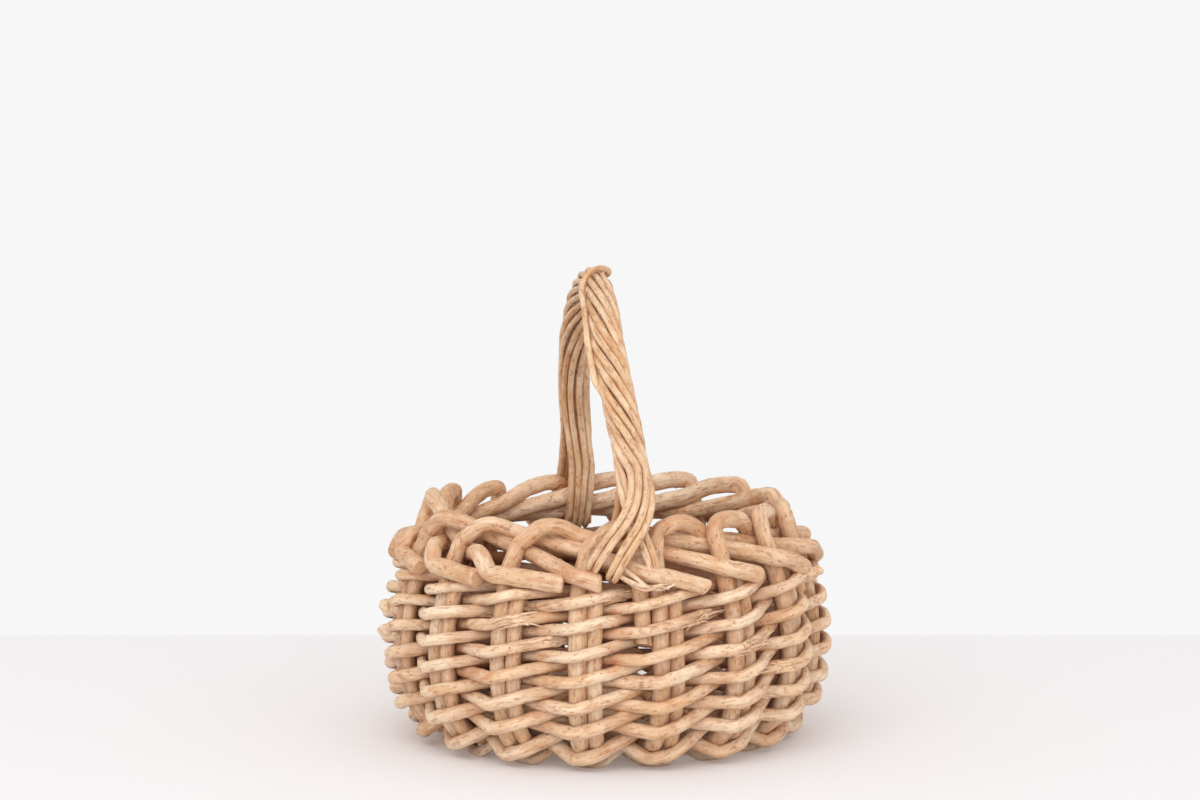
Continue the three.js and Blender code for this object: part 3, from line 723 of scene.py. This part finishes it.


# Peeled willow: a satin skin, bleached or stained from rod to rod, with streaks, blotches, small dark specks and leaf
# scars, stains at folds, painted shade on the inner side and where weavers pass behind the stakes, and tan cut ends.
def willow_finish(name, light, body, darkened, stain_share):
    material = bpy.data.materials.new(name)
    material.use_nodes = True
    tree = material.node_tree
    tree.nodes.clear()
    space = add(tree, "ShaderNodeAttribute", {"attribute_name": "rod_space"}, output="Vector")
    tone = add(tree, "ShaderNodeAttribute", {"attribute_name": "rod_tone"}, output="Fac")
    scar = add(tree, "ShaderNodeAttribute", {"attribute_name": "rod_scar"}, output="Fac")
    cut = add(tree, "ShaderNodeAttribute", {"attribute_name": "cut_face"}, output="Fac")
    inner_shade = add(tree, "ShaderNodeAttribute", {"attribute_name": "rod_inner_shade"}, output="Fac")
    stain_and_shade = add(tree, "ShaderNodeAttribute", {"attribute_name": "rod_stain_and_shade"}, output="Fac")
    where = add(tree, "ShaderNodeTexCoord", output="Object")

    def noise(vector, stretch, scale, detail=3.0, roughness=0.55):
        if stretch != 1:
            vector = add(tree, "ShaderNodeVectorMath", {"operation": "MULTIPLY"}, {0: vector, 1: (1.0, 1.0, stretch)})
        return add(tree, "ShaderNodeTexNoise", {},
                   {"Vector": vector, "Scale": scale, "Detail": detail, "Roughness": roughness})

    def blend(share, first, second):
        return add(tree, "ShaderNodeMix", {"data_type": "RGBA"}, {"Factor": share, "A": first, "B": second})

    grain = noise(space, 0.04, 1000.0, 4.0, 0.6)
    streak = noise(space, 0.07, 380.0, 3.0)
    cloud = noise(space, 0.45, 75.0, 3.0)
    mottle = noise(space, 0.5, 260.0, 4.0, 0.65)
    patch = noise(where, 1, 26.0, 2.0)
    speck = add(tree, "ShaderNodeTexVoronoi", {}, {"Vector": space, "Scale": 190.0, "Randomness": 1.0}, "Distance")
    own = tone.math("FRACT", tone * 3.17)
    bleached = tone.math("FRACT", tone * 5.41)
    stain = patch.between(0.46, 0.64) * 0.45 + own * own * 0.65
    blotch = noise(space, 0.4, 130.0, 3.0, 0.6)
    fleck = noise(space, 0.3, 560.0, 3.0, 0.6)
    colour = blend(cloud.between(0.36, 0.62), light, body)
    colour = blend(stain * stain_share, colour, darkened)
    colour = blend(bleached * bleached * bleached * 0.6, colour, linear(243, 222, 196))
    colour = blend(streak.between(0.5, 0.66) * 0.4, colour, darkened)
    colour = blend(blotch.between(0.5, 0.68) * 0.45, colour, linear(196, 132, 84))
    colour = blend(mottle.between(0.53, 0.66) * 0.4, colour, linear(184, 116, 70))
    colour = blend(fleck.between(0.56, 0.64) * 0.5, colour, linear(150, 84, 48))
    colour = blend(grain.between(0.5, 0.64) * 0.2, colour, linear(150, 98, 62))
    colour = blend(mottle.between(0.3, 0.46) * -0.4 + 0.4, colour, linear(248, 228, 204))
    colour = blend((1.0 - speck.between(0.05, 0.15)) * cloud.between(0.44, 0.54) * 0.85, colour, linear(118, 58, 32))
    colour = blend(scar * 0.4, colour, linear(134, 80, 50))
    # Stains at folds, and painted shade where weavers pass behind the stakes.
    colour = blend(stain_and_shade * (0.25 + cloud.between(0.35, 0.6) * 0.5), colour, linear(172, 106, 62))
    # Painted shade: the inner side of rods low in the basket is darkened towards dark brown.
    colour = blend(inner_shade * 0.75, colour, linear(112, 60, 32))
    colour = blend(cut * 0.65, colour, linear(204, 160, 118))
    rough = 0.46 + grain * 0.2 + cut * 0.25 - cloud * 0.06
    height = streak * 0.5 + grain * 0.3 + mottle * 0.5 + fleck * 0.15 + scar * 0.3
    bump = add(tree, "ShaderNodeBump", {}, {"Strength": 0.75, "Distance": 0.001, "Height": height})
    shader = add(tree, "ShaderNodeBsdfPrincipled", {},
                 {"Base Color": colour, "Roughness": rough, "Normal": bump, "IOR": 1.45})
    out = tree.nodes.new("ShaderNodeOutputMaterial")
    tree.links.new(shader.socket, out.inputs["Surface"])
    return material


# Each finish's light, usual and stained colours, and how strongly it is stained.
finishes = {
    slot: willow_finish(name, linear(*light), linear(*body), linear(*darkened), stain_share)
    for slot, name, light, body, darkened, stain_share in (
        ("willow_stake", "peeled_willow_stakes", (240, 210, 176), (226, 184, 142), (205, 148, 104), 0.6),
        ("willow_weaver", "peeled_willow_weavers", (248, 222, 189), (238, 202, 162), (218, 165, 120), 0.55),
        ("willow_handle", "peeled_willow_handle", (238, 208, 170), (224, 182, 138), (202, 146, 98), 0.5),
        ("willow_base", "peeled_willow_base", (216, 178, 138), (204, 160, 118), (176, 124, 84), 0.6),
    )
}
rod_tree = willow_rod_tree()
rod_inputs = {item.name: item.identifier for item in rod_tree.interface.items_tree if item.in_out == "INPUT"}


# A curve's tilt carries a rod's tone, in tenths, as its whole part and its stain and painted shade as its fraction,
# kept inside these.
DARKENING_LOW = 0.02
DARKENING_SPAN = 0.96


# Sweeps the rods of one node into one plain mesh and ties it to that node. A rod is its line, its radii, its own tone
# and, for some, how much darker it is along the line: stained at folds, painted shade behind the stakes.
def weave(node, slot, rods, sizes):
    curve = bpy.data.curves.new(node + "_line", "CURVE")
    curve.dimensions = "3D"
    for line, radii, tone, *stain in rods:
        spline = curve.splines.new("POLY")
        spline.points.add(len(line) - 1)
        spline.points.foreach_set("co", np.column_stack((line * MM, np.ones(len(line)))).ravel())
        spline.points.foreach_set("radius", np.asarray(radii) * MM)
        darkened = stain[0] if stain else np.zeros(len(line))
        spline.points.foreach_set("tilt", math.floor(tone * 10) + darkened * DARKENING_SPAN + DARKENING_LOW)
    guide = bpy.data.objects.new(node + "_guide", curve)
    bpy.context.scene.collection.objects.link(guide)
    modifier = guide.modifiers.new("sweep", "NODES")
    modifier.node_group = rod_tree
    for name, value in {"Finish": finishes[slot], **sizes}.items():
        modifier[rod_inputs[name]] = value
    shown = guide.evaluated_get(bpy.context.evaluated_depsgraph_get())
    mesh = bpy.data.meshes.new_from_object(shown)
    guide.modifiers.remove(modifier)
    bpy.data.objects.remove(guide)
    bpy.data.curves.remove(curve)
    mesh.name = node + "_willow"
    piece = bpy.data.objects.new(node + "_willow", mesh)
    bpy.context.scene.collection.objects.link(piece)
    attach(piece, "root")
    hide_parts(node)


# A rod's radius along its length: a taper, with the rod's own slow changes.
def thickness(share, start, end, chance, change=0.05):
    swing = change * np.sin(share * chance.uniform(9, 16) + chance.uniform(0, 6))
    return (start + (end - start) * share) * (1 + swing)


# Each few pieces have a random start of their own, so that one can change without the rest.
for k in range(STAKES):
    chance = random.Random(100 + k)
    size = chance.uniform(0.96, 1.05)
    line, share = bend(stake_corners(k, chance), chance, 0.3)
    radii = thickness(share, STAKE_RADIUS * size, (STAKE_RADIUS - STAKE_TAPER) * size, chance, 0.03)
    radii *= 1 + 0.08 * np.clip((PEAK_AT - 22 - line[:, 2]) / 10, 0, 1)
    rods = [(line, worn_ends(line, pinched(line, radii)), chance.uniform(0, 6), stained_folds(line))]
    weave("main_stake_%02d" % (k + 1), "willow_stake", rods, {"Sides": 18, "Seed": k * 1.7, "Swelling": 0.1})

    line, share = bend(bye_corners(k), chance, 0.25)
    radii = thickness(share, BYE_RADIUS * 1.12 * size, BYE_RADIUS * 1.1, chance, 0.03)
    rods = [(line, radii, chance.uniform(0, 6))]
    weave("bye_stake_%02d" % (k + 1), "willow_stake", rods, {"Sides": 16, "Seed": k * 2.3 + 40, "Swelling": 0.08})

    chance = random.Random(200 + k)
    size = chance.uniform(0.94, 1.06) * PLUMP
    line, share = bend(weaver_corners(k, chance), chance, 0.3)
    radii = thickness(share, WEAVER_BUTT * size, WEAVER_TIP * size, chance)
    radii *= 1 + 0.14 * np.clip(line[:, 1] / 60, 0, 1)
    rods = [(line, worn_ends(line, pinched(line, radii)), chance.uniform(0, 6), shaded_behind(line))]
    for at in FRAYED.get(k + 1, ()):
        rods += splinters(line, at, WEAVER_BUTT * size, chance)
    if k + 1 in BUTTS:
        rods.append(butt_end(line, *BUTTS[k + 1], WEAVER_BUTT * size, chance))
    weave("weaver_%02d" % (k + 1), "willow_weaver", rods, {"Sides": 14, "Seed": k * 3.1 + 90, "Swelling": 0.13})

for start, letter in enumerate("ab"):
    chance = random.Random(300 + start)
    line, share = bend(wale_corners(start), chance, 0.15)
    rods = [(line, thickness(share, WALE_RADIUS, WALE_RADIUS * 0.95, chance), chance.uniform(0, 6))]
    weave("foot_wale_" + letter, "willow_weaver", rods, {"Seed": start * 5.5 + 160})
    line, share = bend(base_weaver_corners(start), chance, 0.15)
    rods = [(line, thickness(share, BASE_WEAVER_RADIUS, BASE_WEAVER_RADIUS, chance), chance.uniform(0, 6))]
    sizes = {"Sides": 12, "Seed": start * 4.5 + 190, "Inside Shade": 0.2}
    weave("base_weaver_" + letter, "willow_base", rods, sizes)

chance = random.Random(400)
sticks = []
for k in (STAKES - 2, STAKES - 1, 0, 1, 2, 3, 4, 5):
    line, share = bend(stick_corners(k), chance, 0.1)
    sticks.append((line, thickness(share, STICK_RADIUS, STICK_RADIUS * 0.95, chance), chance.uniform(0, 6)))
weave("base_sticks", "willow_base", sticks, {"Sides": 12, "Seed": 220.0, "Inside Shade": 0.2})

line, share = bend(bow_corners(), chance, 0)
radii = thickness(share, BOW_RADIUS, BOW_RADIUS * 0.97, chance, 0.02)
weave("handle_bow", "willow_stake", [(line, radii, 1.0)], {"Seed": 240.0})

for pair in range(STRAND_PAIRS):
    chance = random.Random(500 + pair)
    strands = []
    for corners in strand_corners(pair):
        line, share = bend(corners, chance, 0.12, 1.0, 4)
        crown = 1 - 0.1 * np.sin(share * math.pi) ** 8
        radii = thickness(share, STRAND_RADIUS, STRAND_RADIUS * 0.9, chance, 0.09) * crown
        strands.append((line, worn_ends(line, radii, 24, 0.45), chance.uniform(0, 6)))
    for tip in THIN_TIPS if pair == TIPPED_PAIR else ():
        corners = [(place(0, TAIL_AT + rise, out, BOW_SHIFT + across), 4) for across, rise, out in tip]
        line, share = bend(corners, chance, 0, 0.8)
        strands.append((line, 1.5 - 0.9 * share, chance.uniform(0, 6)))
    sizes = {"Sides": 12, "Step": 0.001, "Seed": pair * 6.1 + 260, "Swelling": 0.14}
    weave("handle_strands_%d" % (pair + 1), "willow_handle", strands, sizes)


# A flat sheet for the table top or the wall.
def sheet_of(name, corners, material):
    mesh = bpy.data.meshes.new(name)
    mesh.from_pydata(corners, [], [(0, 1, 2, 3)])
    mesh.materials.append(material)
    made = bpy.data.objects.new(name, mesh)
    bpy.context.scene.collection.objects.link(made)


# A plain finish. For this share of what is seen it keeps its seen colour whatever light falls on it.
def plain_finish(name, colour, seen, share=1.0):
    material = bpy.data.materials.new(name)
    material.use_nodes = True
    tree = material.node_tree
    tree.nodes.clear()
    surface = add(tree, "ShaderNodeBsdfDiffuse", {}, {"Color": colour})
    ray = tree.nodes.new("ShaderNodeLightPath")
    straight = (Wire(tree, ray.outputs["Is Camera Ray"]) + Wire(tree, ray.outputs["Is Glossy Ray"])) * share
    glow = add(tree, "ShaderNodeEmission", {}, {"Color": seen, "Strength": 1.0})
    surface = add(tree, "ShaderNodeMixShader", {}, {0: straight, 1: surface, 2: glow})
    out = tree.nodes.new("ShaderNodeOutputMaterial")
    tree.links.new(surface.socket, out.inputs["Surface"])
    return material


# A point given as across, away and up for someone at the camera.
def facing_camera(across, away, up):
    turn = math.radians(-8.85)
    return (across * math.cos(turn) - away * math.sin(turn), across * math.sin(turn) + away * math.cos(turn), up)


# In metres: how far the table reaches behind the basket, and where the wall stands.
TABLE_EDGE = 0.337
WALL_AT = 5
table = plain_finish("pale_table", linear(237, 240, 244), linear(255, 224, 208), 0.2)
backdrop = plain_finish("white_wall", linear(247, 247, 247), linear(247, 247, 247))
table_corners = (-4, -4, 0), (4, -4, 0), (4, TABLE_EDGE, 0), (-4, TABLE_EDGE, 0)
wall_corners = (-9, WALL_AT, -4), (9, WALL_AT, -4), (9, WALL_AT, 7), (-9, WALL_AT, 7)
sheet_of("table_top", [facing_camera(*at) for at in table_corners], table)
sheet_of("wall_behind", [facing_camera(*at) for at in wall_corners], backdrop)

world = bpy.data.worlds.new("studio")
bpy.context.scene.world = world
world.use_nodes = True
world.node_tree.nodes["Background"].inputs["Color"].default_value = (1, 1, 1, 1)
world.node_tree.nodes["Background"].inputs["Strength"].default_value = 0.86


# A wide round lamp that faces the middle of the basket.
def soft_lamp(name, place_at, size, power):
    light = bpy.data.lights.new(name, "AREA")
    light.shape = "DISK"
    light.size = size
    light.energy = power
    lamp = bpy.data.objects.new(name, light)
    lamp.location = place_at
    way = np.array((0, 0, 0.1)) - np.array(place_at)
    lamp.rotation_euler = (math.atan2(math.hypot(way[0], way[1]), -way[2]), 0, math.atan2(-way[0], way[1]))
    bpy.context.scene.collection.objects.link(lamp)


soft_lamp("window_light", (-1.0, -1.9, 1.8), 2.4, 27)
soft_lamp("fill_light", (0.8, -2.4, 1.2), 2.0, 10)

camera = bpy.data.cameras.new("photo_view")
camera.lens = 139.78
camera.sensor_width = 36
view = bpy.data.objects.new("photo_view", camera)
view.location = (-0.4363, -2.7814, 0.5751)
view.rotation_euler = (math.pi / 2 - 0.13, 0, -0.1544)
bpy.context.scene.collection.objects.link(view)
bpy.context.scene.camera = view
bpy.context.scene.view_settings.view_transform = "Standard"

bpy.context.view_layer.update()
